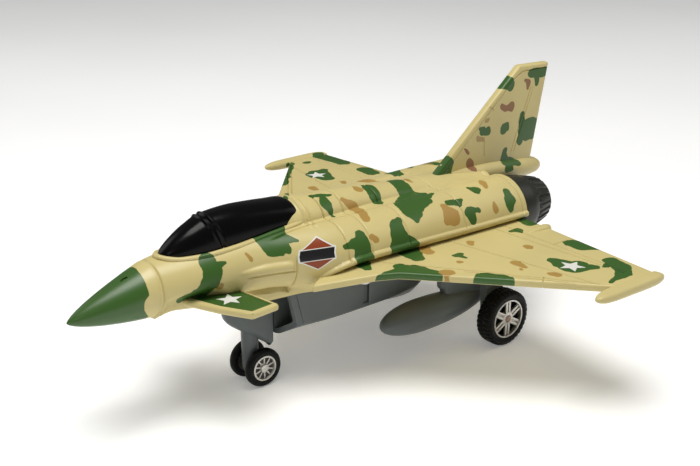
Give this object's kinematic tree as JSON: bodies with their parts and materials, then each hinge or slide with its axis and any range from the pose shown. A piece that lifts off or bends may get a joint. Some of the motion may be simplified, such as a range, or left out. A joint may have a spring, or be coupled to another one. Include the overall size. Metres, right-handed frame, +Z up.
{
  "type": "toy jet airplane",
  "caption": "Stubby camouflaged toy jet with delta wings, canards, black canopy, drop tanks and free-rolling nose and main wheels.",
  "frame": {"origin": "middle of the footprint, on the surface the wheels stand on", "axes": "+Z up, nose towards -Y, +X to the airplane's own left (port) wing; symmetric about x = 0"},
  "size_m": [0.234, 0.2608, 0.1185],
  "materials": {
    "tan_paint": "sand tan moulded plastic with green and brown camouflage print, satin",
    "nose_paint": "green print over tan moulded plastic, satin",
    "canopy_black": "gloss black",
    "nozzle_grey": "dark grey moulded plastic, matt",
    "belly_grey": "slate grey moulded plastic, fine matt",
    "wheel_silver": "silver painted plastic",
    "tyre_black": "matt black",
    "steel": "plain steel wire and screws"
  },
  "bodies": {
    "airframe": {"fuselage_upper": "tan_paint", "fuselage_lower": "tan_paint", "nose_cone": "nose_paint", "canopy": "canopy_black", "wing_left": "tan_paint", "wing_right": "tan_paint", "canard_left": "tan_paint", "canard_right": "tan_paint", "tail_fin": "tan_paint", "jet_nozzle_left": "nozzle_grey", "jet_nozzle_right": "nozzle_grey", "belly_shell": "belly_grey", "nose_gear_housing": "belly_grey", "nose_leg": "belly_grey", "drop_tank_left": "belly_grey", "drop_tank_right": "belly_grey", "tank_pylon_left": "belly_grey", "tank_pylon_right": "belly_grey", "main_leg_left": "belly_grey", "main_leg_right": "belly_grey", "main_pin_left": "steel", "main_pin_right": "steel", "case_screws": "steel"},
    "nose_wheels": {"nose_axle": "steel", "nose_tyre_left": "tyre_black", "nose_tyre_right": "tyre_black", "nose_hub_left": "wheel_silver", "nose_hub_right": "wheel_silver"},
    "main_wheel_left": {"main_rim_left": "wheel_silver", "main_tyre_left": "tyre_black", "main_hub_cap_left": "wheel_silver"},
    "main_wheel_right": {"main_rim_right": "wheel_silver", "main_tyre_right": "tyre_black", "main_hub_cap_right": "wheel_silver"}
  },
  "joints": [
    {"name": "nose_wheels_spin", "type": "hinge", "parent": "airframe", "child": "nose_wheels", "pos_m": [0, -0.0467, 0.0087], "axis": [1, 0, 0], "continuous": true},
    {"name": "main_wheel_left_spin", "type": "hinge", "parent": "airframe", "child": "main_wheel_left", "pos_m": [0.041, 0.0637, 0.0134], "axis": [1, 0, 0], "continuous": true},
    {"name": "main_wheel_right_spin", "type": "hinge", "parent": "airframe", "child": "main_wheel_right", "pos_m": [-0.041, 0.0637, 0.0134], "axis": [1, 0, 0], "continuous": true}
  ]
}
